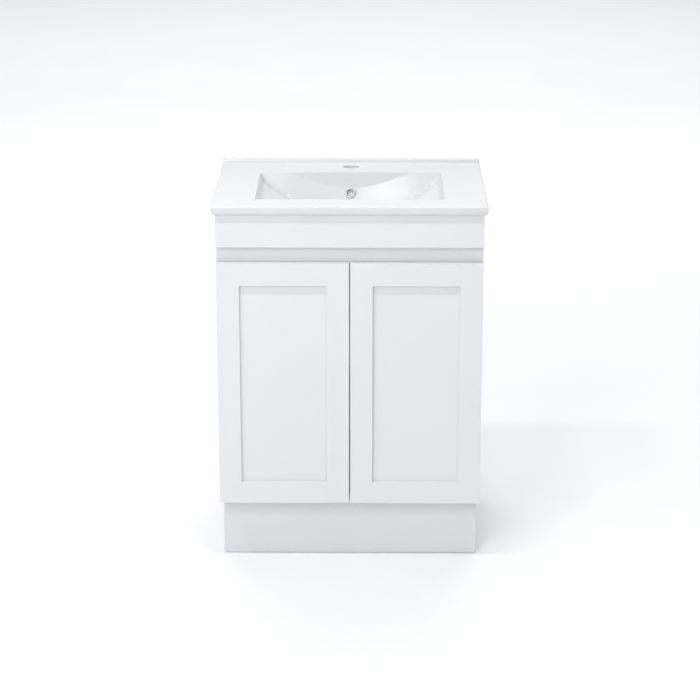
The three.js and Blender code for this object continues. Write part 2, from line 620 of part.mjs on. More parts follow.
// The mounting plate screwed to the side panel: two wings and a raised body that the arm clips on.
function hingePlate(side, z) {
  const wings = doorBlock(side, [BOARD, -PLATE_WING_REAR_SETBACK, z - PLATE_WING_HALF_HEIGHT],
    [BOARD + PLATE_WING_THICKNESS, -PLATE_WING_FRONT_SETBACK, z + PLATE_WING_HALF_HEIGHT]);
  return doorBlock(side, [BOARD, -ARM_LENGTH, z - PLATE_HALF_HEIGHT],
    [ARM_NEAR, -PLATE_FRONT_SETBACK, z + PLATE_HALF_HEIGHT]).add(wings);
}

for (const [name, side] of Object.entries(SIDES)) {
  for (const [height, z] of Object.entries(HINGE_HEIGHTS)) {
    addPart(`hinge_cup_${name}_${height}`, hingeCup(side, z), nickelSteel);
    addPart(`hinge_link_${name}_${height}`, hingeLink(side, z), nickelSteel);
    addPart(`hinge_arm_${name}_${height}`, hingeArm(side, z), nickelSteel);
    addPart(`hinge_plate_${name}_${height}`, hingePlate(side, z), nickelSteel);
  }
}

export default vanity;
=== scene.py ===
"""The visual model of the bathroom vanity cabinet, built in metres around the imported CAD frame."""

import json
import math

import bmesh
import bpy
import numpy as np
from mathutils import Matrix, Vector


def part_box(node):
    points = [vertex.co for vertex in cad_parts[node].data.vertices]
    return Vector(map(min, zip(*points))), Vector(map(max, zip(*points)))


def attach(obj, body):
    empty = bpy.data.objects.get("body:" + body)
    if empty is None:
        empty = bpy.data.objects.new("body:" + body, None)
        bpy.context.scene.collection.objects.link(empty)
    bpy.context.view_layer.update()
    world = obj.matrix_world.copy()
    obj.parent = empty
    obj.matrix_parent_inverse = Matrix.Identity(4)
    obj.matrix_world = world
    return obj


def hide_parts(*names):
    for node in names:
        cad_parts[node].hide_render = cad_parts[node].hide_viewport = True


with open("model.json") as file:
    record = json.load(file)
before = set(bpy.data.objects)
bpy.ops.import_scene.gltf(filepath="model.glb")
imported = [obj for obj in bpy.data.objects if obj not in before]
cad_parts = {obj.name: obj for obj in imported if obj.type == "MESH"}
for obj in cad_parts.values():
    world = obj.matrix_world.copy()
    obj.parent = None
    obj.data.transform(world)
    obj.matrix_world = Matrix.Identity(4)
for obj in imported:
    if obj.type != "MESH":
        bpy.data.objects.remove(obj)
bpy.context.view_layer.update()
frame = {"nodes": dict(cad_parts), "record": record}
MM = 0.001

# ---- Camera: in front of the cabinet, looking a little down at its middle ----

CAMERA_LOCATION = Vector((0.040, -5.0, 1.998))
CAMERA_TARGET = Vector((-0.001, 0.0, 0.431))
CAMERA_LENS = 117.0


def make_camera():
    data = bpy.data.cameras.new("camera")
    data.lens = CAMERA_LENS
    camera = bpy.data.objects.new("camera", data)
    bpy.context.scene.collection.objects.link(camera)
    camera.location = CAMERA_LOCATION
    camera.rotation_euler = (CAMERA_TARGET - CAMERA_LOCATION).to_track_quat("-Z", "Y").to_euler()
    bpy.context.scene.camera = camera


make_camera()

# ---- Light and floor ----

CEILING_LAMPS = 5
CEILING_LAMP_SPACING = 0.62
CEILING_ROW_MIDDLE = -0.45
CEILING_LAMP_SIZE = 0.14
CEILING_LAMP_HEIGHT = 3.1
CEILING_LAMP_Y = -1.12
CEILING_LAMP_POWER = 6.5
CEILING_LAMP_TURN_IN = 0.3
WORLD_COLOUR = (0.97, 0.98, 1.0, 1.0)
WORLD_STRENGTH = 0.49
FLOOR_HALF = 30.0
FLOOR_DROP = 0.0004

# The large lights: place, what it faces, width, height and power.
SOFT_BOXES = {
    "left_box": ((-0.95, -2.6, 1.95), (0.0, -0.1, 0.5), 1.2, 1.2, 30.0),
    "background": ((0.0, 5.5, 5.0), (0.0, 5.5, 0.0), 7.0, 7.0, 235.0),
    "rear_panel": ((0.0, 4.5, 2.9), (0.0, 0.0, 1.9), 7.0, 2.0, 34.0),
}


def area_light(name, location, target, width, height, power):
    data = bpy.data.lights.new(name, "AREA")
    data.shape = "RECTANGLE"
    data.size = width
    data.size_y = height
    data.energy = power
    lamp = bpy.data.objects.new(name, data)
    bpy.context.scene.collection.objects.link(lamp)
    lamp.visible_camera = False
    lamp.location = location
    lamp.rotation_euler = (Vector(target) - Vector(location)).to_track_quat("-Z", "Y").to_euler()


def make_lights():
    for index in range(CEILING_LAMPS):
        x = CEILING_ROW_MIDDLE + (index - (CEILING_LAMPS - 1) / 2) * CEILING_LAMP_SPACING
        place = (x, CEILING_LAMP_Y, CEILING_LAMP_HEIGHT)
        aim = (x * CEILING_LAMP_TURN_IN, 0.0, 0.0)
        size = CEILING_LAMP_SIZE
        area_light(f"ceiling_lamp_{index}", place, aim, size, size, CEILING_LAMP_POWER)
    for name, (place, aim, width, height, power) in SOFT_BOXES.items():
        area_light(name, place, aim, width, height, power)


def make_world():
    world = bpy.data.worlds.new("studio")
    bpy.context.scene.world = world
    world.use_nodes = True
    background = world.node_tree.nodes["Background"]
    background.inputs["Color"].default_value = WORLD_COLOUR
    background.inputs["Strength"].default_value = WORLD_STRENGTH


def make_floor():
    half = FLOOR_HALF
    mesh = bpy.data.meshes.new("floor")
    corners = [(-half, -half, 0.0), (half, -half, 0.0), (half, half, 0.0), (-half, half, 0.0)]
    mesh.from_pydata(corners, [], [(0, 1, 2, 3)])
    floor = bpy.data.objects.new("floor", mesh)
    bpy.context.scene.collection.objects.link(floor)
    floor.location.z = -FLOOR_DROP
    mesh.materials.append(floor_material())


# ---- Materials ----

NOISE_RANGE = (0.3, 0.7)


class Shader:
    """A Principled material with short helpers for the nodes that feed it."""

    def __init__(self, name):
        self.material = bpy.data.materials.new(name)
        self.material.use_nodes = True
        self.tree = self.material.node_tree
        self.surface = self.tree.nodes["Principled BSDF"]
        self.place = self.add("ShaderNodeTexCoord").outputs["Object"]

    def add(self, kind):
        return self.tree.nodes.new(kind)

    def link(self, output, socket):
        self.tree.links.new(output, socket)

    def set(self, **values):
        for name, value in values.items():
            self.surface.inputs[name.replace("_", " ")].default_value = value

    def noise(self, scale, detail=2.0, roughness=0.5, stretch=(1.0, 1.0, 1.0)):
        mapping = self.add("ShaderNodeMapping")
        mapping.inputs["Scale"].default_value = stretch
        self.link(self.place, mapping.inputs["Vector"])
        texture = self.add("ShaderNodeTexNoise")
        texture.inputs["Scale"].default_value = scale
        texture.inputs["Detail"].default_value = detail
        texture.inputs["Roughness"].default_value = roughness
        self.link(mapping.outputs["Vector"], texture.inputs["Vector"])
        return texture.outputs["Fac"]

    def spread(self, value, low, high):
        """A noise value, which lies mostly inside NOISE_RANGE, brought to the range low to high."""
        node = self.add("ShaderNodeMapRange")
        node.inputs["From Min"].default_value = NOISE_RANGE[0]
        node.inputs["From Max"].default_value = NOISE_RANGE[1]
        node.inputs["To Min"].default_value = low
        node.inputs["To Max"].default_value = high
        self.link(value, node.inputs["Value"])
        return node.outputs["Result"]

    def blend(self, value, first, second):
        node = self.add("ShaderNodeMix")
        node.data_type = "RGBA"
        node.inputs["A"].default_value = (*first, 1.0)
        node.inputs["B"].default_value = (*second, 1.0)
        self.link(value, node.inputs["Factor"])
        return node.outputs["Result"]

    def colour(self, value, first, second):
        share = self.spread(value, 0.0, 1.0)
        self.link(self.blend(share, first, second), self.surface.inputs["Base Color"])

    def rough(self, value, low, high):
        self.link(self.spread(value, low, high), self.surface.inputs["Roughness"])

    def bump(self, value, height, strength=1.0, under=None):
        node = self.add("ShaderNodeBump")
        node.inputs["Distance"].default_value = height
        node.inputs["Strength"].default_value = strength
        self.link(value, node.inputs["Height"])
        if under is not None:
            self.link(under, node.inputs["Normal"])
        self.link(node.outputs["Normal"], self.surface.inputs["Normal"])
        return node.outputs["Normal"]


def floor_material():
    shader = Shader("pale_floor")
    shader.colour(shader.noise(1.7, detail=3.0), (0.935, 0.938, 0.945), (0.95, 0.952, 0.958))
    shader.rough(shader.noise(3.0), 0.55, 0.65)
    return shader.material


def satin_paint():
    """Sprayed satin enamel: a faint orange peel and a slow change of gloss and tone."""
    shader = Shader("satin_paint")
    shader.colour(shader.noise(3.2, detail=3.0), (0.742, 0.748, 0.790), (0.758, 0.764, 0.804))
    shader.rough(shader.noise(38.0, detail=3.0), 0.30, 0.37)
    peel = shader.bump(shader.noise(420.0), height=0.00004, strength=0.6)
    shader.bump(shader.noise(24.0), height=0.00025, strength=0.12, under=peel)
    shader.set(Coat_Weight=0.12, Coat_Roughness=0.22, IOR=1.48)
    return shader.material


def melamine():
    """White melamine-faced board with a fine pearl grain."""
    shader = Shader("melamine")
    shader.colour(shader.noise(900.0), (0.735, 0.736, 0.748), (0.76, 0.76, 0.77))
    shader.rough(shader.noise(60.0, detail=3.0), 0.40, 0.5)
    shader.bump(shader.noise(1300.0, detail=3.0, roughness=0.6), height=0.00005, strength=0.7)
    return shader.material


def glaze():
    """White glaze: a soft gloss, a slow waviness and the faintest change of tone."""
    shader = Shader("white_glaze")
    shader.colour(shader.noise(5.0, detail=3.0), (0.688, 0.688, 0.692), (0.704, 0.704, 0.708))
    shader.rough(shader.noise(16.0), 0.22, 0.27)
    ripple = shader.bump(shader.noise(22.0, detail=1.0), height=0.0002, strength=0.06)
    shader.bump(shader.noise(260.0, detail=1.0), height=0.00002, strength=0.1, under=ripple)
    shader.set(IOR=1.52, Coat_Weight=0.15, Coat_Roughness=0.1)
    return shader.material


def chrome():
    """Satin chrome with small changes of gloss, as on a worn trim ring."""
    shader = Shader("chrome")
    shader.colour(shader.noise(90.0, detail=3.0), (0.53, 0.535, 0.55), (0.61, 0.615, 0.63))
    shader.rough(shader.noise(240.0, detail=4.0, roughness=0.7), 0.28, 0.38)
    shader.bump(shader.noise(1500.0, stretch=(1.0, 1.0, 0.1)), height=0.00001, strength=0.4)
    shader.set(Metallic=1.0)
    return shader.material


def nickel_steel():
    """Nickel-plated pressed steel with a fine drawn grain."""
    shader = Shader("nickel_steel")
    shader.colour(shader.noise(150.0, detail=4.0, roughness=0.6), (0.56, 0.56, 0.57), (0.68, 0.68, 0.68))
    shader.rough(shader.noise(500.0, detail=3.0, roughness=0.6, stretch=(1.0, 0.15, 1.0)), 0.22, 0.38)
    shader.bump(shader.noise(2200.0, stretch=(1.0, 0.08, 1.0)), height=0.00003, strength=0.5)
    shader.set(Metallic=1.0)
    return shader.material


def clear_rubber():
    shader = Shader("clear_rubber")
    shader.colour(shader.noise(400.0), (0.72, 0.72, 0.70), (0.80, 0.80, 0.78))
    shader.rough(shader.noise(600.0), 0.42, 0.55)
    shader.bump(shader.noise(900.0), height=0.00005, strength=0.4)
    shader.set(Transmission_Weight=0.35, IOR=1.45)
    return shader.material


FINISHES = {
    "cabinet_paint": satin_paint(),
    "board_facing": melamine(),
    "glazed_top": glaze(),
    "chrome": chrome(),
    "nickel_steel": nickel_steel(),
    "bumper_rubber": clear_rubber(),
}
NODE_SLOTS = {part["node"]: part["material_slot"] for part in frame["record"]["subparts"]}
BODY_NODES = frame["record"]["behaviour"]["bodies"]
NODE_BODIES = {node: body for body, nodes in BODY_NODES.items() for node in nodes}

# ---- Making pieces ----

SMOOTH_ANGLE = math.radians(32.0)
SHARP_ANGLE = math.radians(30.0)
FLAT_ANGLE = math.radians(0.5)
WELD_DISTANCE = 1e-6


def shade(mesh):
    """Smooth shading, with the edges sharper than SMOOTH_ANGLE kept crisp."""
    mesh.shade_smooth()
    mesh.set_sharp_from_angle(angle=SMOOTH_ANGLE)


def add_piece(name, mesh, body, slot):
    piece = bpy.data.objects.new(name, mesh)
    bpy.context.scene.collection.objects.link(piece)
    mesh.materials.clear()
    mesh.materials.append(FINISHES[slot])
    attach(piece, body)
    return piece


def mesh_from(name, build):
    """A new mesh filled by build(bm)."""
    bm = bmesh.new()
    build(bm)
    mesh = bpy.data.meshes.new(name)
    bm.normal_update()
    bm.to_mesh(mesh)
    bm.free()
    return mesh


def clean_copy(node):
    """The node's CAD mesh as plain faces: welded, and with the triangles of each flat face joined."""
    source = frame["nodes"][node].data
    bm = bmesh.new()
    bm.from_mesh(source)
    bmesh.ops.remove_doubles(bm, verts=bm.verts, dist=WELD_DISTANCE)
    bmesh.ops.dissolve_limit(
        bm, angle_limit=FLAT_ANGLE, verts=bm.verts, edges=bm.edges, use_dissolve_boundaries=False
    )
    fresh = bpy.data.meshes.new(node + "_fine")
    bm.to_mesh(fresh)
    bm.free()
    if "custom_normal" in fresh.attributes:
        fresh.attributes.remove(fresh.attributes["custom_normal"])
    return fresh


def round_edges(piece, radius, segments=3, weighted=False):
    bevel = piece.modifiers.new("round_edges", "BEVEL")
    bevel.width = radius
    bevel.segments = segments
    bevel.limit_method = "WEIGHT" if weighted else "ANGLE"
    bevel.angle_limit = SHARP_ANGLE
    bevel.use_clamp_overlap = True
    bevel.harden_normals = True


def refine(node, radius, segments=3, edge_share=None):
    """A finely edged piece in place of a CAD node. edge_share(a, b) gives the share of the edge radius
    that the edge between the points a and b gets; without it every sharp edge is rounded alike."""
    mesh = clean_copy(node)
    if edge_share is not None:
        weigh_edges(mesh, edge_share)
    shade(mesh)
    piece = add_piece(node + "_fine", mesh, NODE_BODIES[node], NODE_SLOTS[node])
    round_edges(piece, radius, segments, weighted=edge_share is not None)
    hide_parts(node)
    return piece


def weigh_edges(mesh, edge_share):
    bm = bmesh.new()
    bm.from_mesh(mesh)
    weight = bm.edges.layers.float.new("bevel_weight_edge")
    for edge in bm.edges:
        if len(edge.link_faces) == 2 and edge.calc_face_angle(0.0) > SHARP_ANGLE:
            edge[weight] = edge_share(edge.verts[0].co, edge.verts[1].co)
    bm.to_mesh(mesh)
    bm.free()


# ---- The ceramic top ----

TOP_LOW, TOP_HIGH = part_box("vanity_top")
HALF_TOP = TOP_HIGH.x / MM
TOP_FRONT = TOP_LOW.y / MM
TOP_REAR = TOP_HIGH.y / MM
UPSTAND_TOP = TOP_HIGH.z / MM
UPSTAND_HEIGHT = 6.0
UPSTAND_EDGE_RADIUS = 2.0
UPSTAND_COVE_RADIUS = 2.0
UPSTAND_END_RADIUS = 1.5
UPSTAND_THICKNESS = 14.0
DECK = UPSTAND_TOP - UPSTAND_HEIGHT
SLAB_THICKNESS = 20.0
SLAB_UPPER_RADIUS = 2.5
SLAB_LOWER_RADIUS = 9.0

BOWL_HALF_WIDTH = 207.5
BOWL_FRONT = TOP_FRONT + 73.6
BOWL_BACK = BOWL_FRONT + 264.4
BOWL_LIP_DEPTH = 20.0
BOWL_LIP_SLOPE = 0.4
BOWL_DEPTH = 105.0
BOWL_FLOOR_EXPONENT = 1.565
BOWL_FLOOR_SHARE_LIMIT = 1.2
BOWL_END_SLOPE = 0.4245
BOWL_WALL = 9.0
BOWL_FILLET = 5.0
BOWL_RIM_FILLET = 1.6
SHELL_FILLET = 8.0
SWELL_HALF_WIDTH = 160.0
SWELL_FADE = 2.0
SWELL_DEPTH = 35.0
SWELL_FACE_RUN = 1.2
WASTE_Y = (BOWL_FRONT + BOWL_BACK) / 2
WASTE_RADIUS = 22.5
WASTE_FLARE = 5.0
WASTE_RIM_RISE = 0.6
TAP_HOLE_Y = TOP_FRONT + 402.0
TAP_HOLE_RADIUS = 18.0
TAP_HOLE_FLARE = 4.5


def smooth_min(a, b, softness):
    """The smaller of a and b, blended where they differ by less than the softness."""
    mix = np.clip(0.5 + 0.5 * (b - a) / softness, 0.0, 1.0)
    return b * (1.0 - mix) + a * mix - softness * mix * (1.0 - mix)


def rounded_drop(distance, radius):
    """How far a rounded edge has dropped at a distance (up to radius) past its start."""
    past = np.clip(distance, 0.0, radius)
    return radius - np.sqrt(radius**2 - past**2)


def slab_edge_drop(x, y, radius):
    """The drop of a rounded edge along the slab's front and sides."""
    out_x = np.clip(np.abs(x) - (HALF_TOP - radius), 0.0, radius)
    out_y = np.clip(TOP_FRONT + radius - y, 0.0, radius)
    return rounded_drop(np.hypot(out_x, out_y), radius)


def bowl_depth(x, y, offset, crease):
    """The basin's depth under the deck at x, y, in millimetres; an offset gives its outer shell."""
    lip = (BOWL_HALF_WIDTH + offset - np.abs(x)) / BOWL_LIP_SLOPE
    floor_half = BOWL_HALF_WIDTH - BOWL_LIP_SLOPE * BOWL_LIP_DEPTH + offset
    share = np.clip(np.abs(x) / floor_half, 0.0, BOWL_FLOOR_SHARE_LIMIT)
    floor = BOWL_LIP_DEPTH + (BOWL_DEPTH - BOWL_LIP_DEPTH) * (1.0 - share**BOWL_FLOOR_EXPONENT) + offset
    front = (y - BOWL_FRONT + offset) / BOWL_END_SLOPE
    behind = BOWL_BACK + offset - y
    swell = SWELL_DEPTH * np.clip(1.0 - (x / SWELL_HALF_WIDTH) ** 2, 0.0, 1.0) ** SWELL_FADE
    face = np.clip(behind / SWELL_FACE_RUN, 0.0, 1.0)
    back = behind / BOWL_END_SLOPE + swell * face * face * (3.0 - 2.0 * face)
    across = smooth_min(lip, floor, crease)
    return smooth_min(across, smooth_min(front, back, crease), crease)


def top_surface(x, y):
    """Height of the deck, the basin and the rear upstand."""
    deck = DECK - slab_edge_drop(x, y, SLAB_UPPER_RADIUS)
    depth = -smooth_min(-bowl_depth(x, y, 0.0, BOWL_FILLET), np.zeros_like(x), BOWL_RIM_FILLET)
    sunk = deck - np.where(depth > 0.0, depth, 0.0)
    rise = y - (TOP_REAR - UPSTAND_THICKNESS)
    foot = rounded_drop(rise + UPSTAND_COVE_RADIUS, UPSTAND_COVE_RADIUS)
    crown = UPSTAND_HEIGHT - rounded_drop(UPSTAND_EDGE_RADIUS - rise, UPSTAND_EDGE_RADIUS)
    end = rounded_drop(np.abs(x) - (HALF_TOP - UPSTAND_END_RADIUS), UPSTAND_END_RADIUS)
    return sunk + np.where(rise > 0.0, crown - end, foot)


def under_surface(x, y):
    """Height of the slab's underside with its rounded lower edge, and of the basin's outer shell."""
    slab = DECK - SLAB_THICKNESS + slab_edge_drop(x, y, SLAB_LOWER_RADIUS)
    shell = DECK - bowl_depth(x, y, BOWL_WALL, SHELL_FILLET)
    return np.minimum(slab, shell)


# The grid of the top: its usual step, and (reach, step) round each line where the surface turns.
GRID_STEP = 3.6
GRID_LEAST_STEP = 0.08
RIM_GRID = (2.5, 0.4)
REAR_RIM_GRID = (2.5, 0.2)
REAR_RIM_SHIFT = 0.5
LIP_FOOT_GRID = (5.0, 1.0)
UPSTAND_GRID = (2.2, 0.25)
SLAB_EDGE_GRID = (SLAB_LOWER_RADIUS / 2, 0.45)


def grid_lines(low, high, crowded):
    """Grid coordinates from low to high, closer together round each crowded coordinate."""
    lines = list(np.arange(low, high, GRID_STEP)) + [high]
    for centre, reach, fine in crowded:
        lines = [line for line in lines if abs(line - centre) > reach]
        lines += list(np.arange(centre - reach, centre + reach + fine / 2, fine))
    kept = sorted(line for line in lines if low <= line <= high)
    spaced = [kept[0]]
    for line in kept[1:]:
        if line - spaced[-1] > GRID_LEAST_STEP:
            spaced.append(line)
    spaced[-1] = high
    return np.array(spaced)


def top_grid():
    lip_foot = BOWL_HALF_WIDTH - BOWL_LIP_SLOPE * BOWL_LIP_DEPTH
    edge = SLAB_LOWER_RADIUS / 2
    across = []
    for sign in (-1, 1):
        across.append((sign * BOWL_HALF_WIDTH, *RIM_GRID))
        across.append((sign * lip_foot, *LIP_FOOT_GRID))
        across.append((sign * (HALF_TOP - edge), *SLAB_EDGE_GRID))
    along = [
        (BOWL_FRONT, *RIM_GRID),
        (BOWL_BACK - REAR_RIM_SHIFT, *REAR_RIM_GRID),
        (TOP_REAR - UPSTAND_THICKNESS, *UPSTAND_GRID),
        (TOP_FRONT + edge, *SLAB_EDGE_GRID),
    ]
    return grid_lines(-HALF_TOP, HALF_TOP, across), grid_lines(TOP_FRONT, TOP_REAR, along)


def top_solid():
    """Both surfaces over one grid, closed by a strip round the outside."""
    xs, ys = top_grid()
    grid_x, grid_y = np.meshgrid(xs, ys)
    count = grid_x.size
    sheets = [
        np.stack([grid_x, grid_y, surface(grid_x, grid_y)], -1).reshape(-1, 3)
        for surface in (top_surface, under_surface)
    ]
    points = np.concatenate(sheets) * MM
    columns, rows = len(xs), len(ys)
    faces = []
    for row in range(rows - 1):
        for column in range(columns - 1):
            a = row * columns + column
            quad = (a, a + 1, a + columns + 1, a + columns)
            faces.append(quad)
            faces.append(tuple(count + i for i in reversed(quad)))
    ring = list(range(columns))
    ring += [row * columns + columns - 1 for row in range(1, rows)]
    ring += [(rows - 1) * columns + column for column in range(columns - 2, -1, -1)]
    ring += [row * columns for row in range(rows - 2, 0, -1)]
    for here, after in zip(ring, ring[1:] + ring[:1]):
        faces.append((here, here + count, after + count, after))
    mesh = bpy.data.meshes.new("vanity_top_fine")
    mesh.from_pydata(points.tolist(), [], faces)
    return mesh


def lathe_object(name, profile, centre, axis=Vector((0, 0, 1)), segments=64):
    """A closed body turned about an axis from (radius, height) pairs in millimetres."""
    turn = Vector((0, 0, 1)).rotation_difference(axis).to_matrix().to_4x4()
    place = Matrix.Translation(Vector(centre) * MM) @ turn

    def build(bm):
        rings = []
        for radius, height in profile:
            if radius == 0:
                rings.append([bm.verts.new((0, 0, height * MM))])
                continue
            ring = []
            for step in range(segments):
                angle = 2 * math.pi * step / segments
                x = radius * MM * math.cos(angle)
                y = radius * MM * math.sin(angle)
                ring.append(bm.verts.new((x, y, height * MM)))
            rings.append(ring)
        closed = profile[0] == profile[-1]
        if closed:
            bmesh.ops.delete(bm, geom=rings.pop(), context="VERTS")
            rings.append(rings[0])
        for low, high in zip(rings, rings[1:]):
            for step in range(segments):
                after = (step + 1) % segments
                around = ((low, step), (low, after), (high, after), (high, step))
                corners = [circle[index % len(circle)] for circle, index in around]
                bm.faces.new(list(dict.fromkeys(corners)))
        bmesh.ops.recalc_face_normals(bm, faces=bm.faces)
        bmesh.ops.transform(bm, matrix=place, verts=bm.verts)

    return mesh_from(name, build)


def carve(piece, tool_mesh, operation):
    """Cuts a tool out of a piece, or joins it on, and applies the result."""
    tool = bpy.data.objects.new("tool", tool_mesh)
    bpy.context.scene.collection.objects.link(tool)
    modifier = piece.modifiers.new("carve", "BOOLEAN")
    modifier.object = tool
    modifier.operation = operation
    modifier.solver = "EXACT"
    bpy.context.view_layer.update()
    evaluated = piece.evaluated_get(bpy.context.evaluated_depsgraph_get())
    result = bpy.data.meshes.new_from_object(evaluated)
    piece.modifiers.clear()
    old = piece.data
    piece.data = result
    result.name = old.name
    bpy.data.meshes.remove(old)
    bpy.data.objects.remove(tool)
    bpy.data.meshes.remove(tool_mesh)


def box_mesh(name, low, high):
    low, high = Vector(low) * MM, Vector(high) * MM

    def build(bm):
        size = high - low
        matrix = Matrix.Translation((low + high) / 2) @ Matrix.Diagonal((*size, 1.0))
        bmesh.ops.create_cube(bm, size=1.0, matrix=matrix)

    return mesh_from(name, build)


OVERFLOW_TILT = math.atan(BOWL_END_SLOPE)
OVERFLOW_OUT = Vector((0, -math.cos(OVERFLOW_TILT), math.sin(OVERFLOW_TILT)))
OVERFLOW_DEPTH = 48.0
OVERFLOW_Y = BOWL_BACK - BOWL_END_SLOPE * (OVERFLOW_DEPTH - SWELL_DEPTH)
OVERFLOW_CENTRE = Vector((0, OVERFLOW_Y, DECK - OVERFLOW_DEPTH))
OVERFLOW_RADIUS = 10.0
OVERFLOW_BORE_DEPTH = 6.0
RING_OUTER_RADIUS = 12.4
RING_INNER_RADIUS = 8.6
RING_CLEARANCE = 0.3
RING_SLEEVE_RADIUS = OVERFLOW_RADIUS - RING_CLEARANCE
RING_SLEEVE_DEPTH = 4.0
RING_SEAT = 0.25
RING_FLANGE_BASE = 0.3
RING_RIM = 0.6
RING_RISE = 2.6
RING_DOME_EXPONENT = 0.8
RING_SEGMENTS = 72
BOSS_RADIUS = 34.0
BOSS_BEVEL = 1.0
DUCT_HALF_WIDTH = 17.0
DUCT_REAR = BOWL_BACK + 24.0
DUCT_BOTTOM = DECK - BOWL_DEPTH - 21.0
DUCT_ABOVE_BOSS = 0.5
SHELL_LAP = 3.0
DUCT_LAP = 2.0
TOOL_BELOW = 2.0
TOOL_ABOVE = 3.0
OVERFLOW_TOOL_LENGTH = 8.0


def flared_hole(radius, flare, top, bottom):
    """The tool for a hole whose upper rim curls over a quarter round."""
    profile = [(0, bottom), (radius, bottom)]
    steps = 8
    for step in range(steps + 1):
        angle = math.pi / 2 * step / steps
        profile.append((radius + flare * (1 - math.cos(angle)), top - flare + flare * math.sin(angle)))
    profile += [(radius + flare, top + TOOL_ABOVE), (0, top + TOOL_ABOVE)]
    return profile


def add_waste_boss_and_duct(piece):
    """The round boss under the waste hole, and the duct's rib under and behind the basin."""
    inside_shell = DECK - BOWL_DEPTH - SHELL_LAP
    boss = [
        (0, DUCT_BOTTOM),
        (BOSS_RADIUS - BOSS_BEVEL, DUCT_BOTTOM),
        (BOSS_RADIUS, DUCT_BOTTOM + BOSS_BEVEL),
        (BOSS_RADIUS, inside_shell),
        (0, inside_shell),
    ]
    carve(piece, lathe_object("boss", boss, (0, WASTE_Y, 0)), "UNION")
    run_low = (-DUCT_HALF_WIDTH, WASTE_Y, DUCT_BOTTOM + DUCT_ABOVE_BOSS)
    run_high = (DUCT_HALF_WIDTH, DUCT_REAR, inside_shell)
    carve(piece, box_mesh("duct_run", run_low, run_high), "UNION")
    upright_low = (-DUCT_HALF_WIDTH, BOWL_BACK + SHELL_LAP, inside_shell - DUCT_LAP)
    upright_high = (DUCT_HALF_WIDTH, DUCT_REAR, DECK - SLAB_THICKNESS / 2)
    carve(piece, box_mesh("duct_upright", upright_low, upright_high), "UNION")


def cut_holes(piece):
    """The tap hole, the waste hole and the bore of the overflow."""
    tap = flared_hole(TAP_HOLE_RADIUS, TAP_HOLE_FLARE, DECK, DECK - SLAB_THICKNESS - TOOL_BELOW)
    carve(piece, lathe_object("tap_tool", tap, (0, TAP_HOLE_Y, 0)), "DIFFERENCE")
    waste_rim = DECK - BOWL_DEPTH + WASTE_RIM_RISE
    waste = flared_hole(WASTE_RADIUS, WASTE_FLARE, waste_rim, DUCT_BOTTOM - TOOL_BELOW)
    carve(piece, lathe_object("waste_tool", waste, (0, WASTE_Y, 0)), "DIFFERENCE")
    overflow = [
        (0, -OVERFLOW_BORE_DEPTH),
        (OVERFLOW_RADIUS, -OVERFLOW_BORE_DEPTH),
        (OVERFLOW_RADIUS, OVERFLOW_TOOL_LENGTH),
        (0, OVERFLOW_TOOL_LENGTH),
    ]
    carve(piece, lathe_object("overflow_tool", overflow, OVERFLOW_CENTRE, OVERFLOW_OUT), "DIFFERENCE")


def make_vanity_top():
    piece = add_piece("vanity_top_fine", top_solid(), "root", "glazed_top")
    add_waste_boss_and_duct(piece)
    cut_holes(piece)
    shade(piece.data)
    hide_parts("vanity_top")


def make_overflow_ring():
    """A domed chrome ring whose sleeve goes into the overflow hole."""
    profile = [
        (RING_INNER_RADIUS, -RING_SLEEVE_DEPTH),
        (RING_SLEEVE_RADIUS, -RING_SLEEVE_DEPTH),
        (RING_SLEEVE_RADIUS, RING_SEAT),
        (RING_OUTER_RADIUS, RING_FLANGE_BASE),
    ]
    steps = 10
    middle = (RING_OUTER_RADIUS + RING_INNER_RADIUS) / 2
    half = (RING_OUTER_RADIUS - RING_INNER_RADIUS) / 2
    for step in range(steps + 1):
        angle = math.pi * step / steps
        dome = RING_RIM + (RING_RISE - RING_RIM) * math.sin(angle) ** RING_DOME_EXPONENT
        profile.append((middle + half * math.cos(angle), dome))
    profile.append((RING_INNER_RADIUS, -RING_SLEEVE_DEPTH))
    mesh = lathe_object("overflow_ring_fine", profile, OVERFLOW_CENTRE, OVERFLOW_OUT, RING_SEGMENTS)
    shade(mesh)
    piece = add_piece("overflow_ring_fine", mesh, "root", "chrome")
    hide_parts("overflow_ring")


make_vanity_top()
make_overflow_ring()

# ---- Boards and doors ----

PAINTED_BOARD_EDGE = 1.0 * MM
FACED_BOARD_EDGE = 0.5 * MM
DOOR_EDGE = 1.3 * MM
PANEL_EDGE = 0.4 * MM
FLUSH_EDGE_SHARE = 0.12
JOINT_EDGE_SHARE = 0.0
JOINT_REACH = 0.4 * MM
SHORTEST_RAIL_EDGE = 0.05
GROOVE_CLEARANCE = 0.3 * MM
PLANE_TOLERANCE = 0.1 * MM
CUT_TOLERANCE = 1e-7

PAINTED_BOARDS = (
    "side_panel_left", "side_panel_right", "fascia", "channel_back", "channel_ledge",
    "kickboard", "plinth_side_left", "plinth_side_right",
)
FACED_BOARDS = ("bottom_panel", "rear_top_rail", "back_panel", "shelf", "plinth_rear_rail")

CARCASS_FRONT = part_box("channel_back")[0].y


def flush_share(a, b):
    """The carcass boards meet flush in the plane of the carcass front, where paint fills the joints."""
    farther = max(abs(a.y - CARCASS_FRONT), abs(b.y - CARCASS_FRONT))
    return FLUSH_EDGE_SHARE if farther < PLANE_TOLERANCE else 1.0


for board in PAINTED_BOARDS:
    refine(board, PAINTED_BOARD_EDGE, edge_share=flush_share)
for board in FACED_BOARDS:
    refine(board, FACED_BOARD_EDGE, segments=2)


